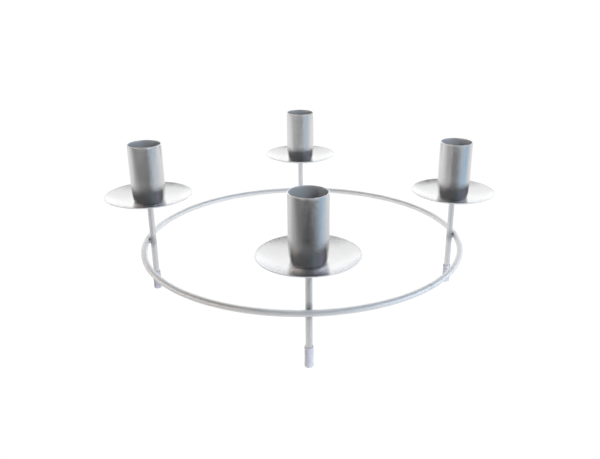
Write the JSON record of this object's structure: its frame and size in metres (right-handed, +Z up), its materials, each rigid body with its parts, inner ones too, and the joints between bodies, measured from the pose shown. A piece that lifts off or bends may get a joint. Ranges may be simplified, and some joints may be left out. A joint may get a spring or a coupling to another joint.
{
  "type": "advent candle holder",
  "caption": "Wire ring on four capped posts, each post carrying a dished drip tray and a tubular cup for a taper candle.",
  "frame": {"origin": "centre of the ring, on the table", "axes": "+Z up, -Y towards the front arm, +X towards the right arm"},
  "size_m": [0.3012, 0.3012, 0.1186],
  "materials": {
    "silver_wire": "satin silver lacquer on steel wire",
    "silver_tray": "satin silver lacquer on pressed sheet",
    "silver_cup": "satin silver lacquer on drawn sheet",
    "weld_metal": "lacquered weld bead, slightly rough",
    "clear_cap": "milky clear soft plastic"
  },
  "bodies": {
    "root": {"ring": "silver_wire", "ring_joint_weld": "weld_metal", "front_post": "silver_wire", "right_post": "silver_wire", "back_post": "silver_wire", "left_post": "silver_wire", "front_drip_tray": "silver_tray", "right_drip_tray": "silver_tray", "back_drip_tray": "silver_tray", "left_drip_tray": "silver_tray", "front_candle_cup": "silver_cup", "right_candle_cup": "silver_cup", "back_candle_cup": "silver_cup", "left_candle_cup": "silver_cup", "front_foot_cap": "clear_cap", "right_foot_cap": "clear_cap", "back_foot_cap": "clear_cap", "left_foot_cap": "clear_cap", "front_ring_weld": "weld_metal", "right_ring_weld": "weld_metal", "back_ring_weld": "weld_metal", "left_ring_weld": "weld_metal"}
  },
  "joints": []
}
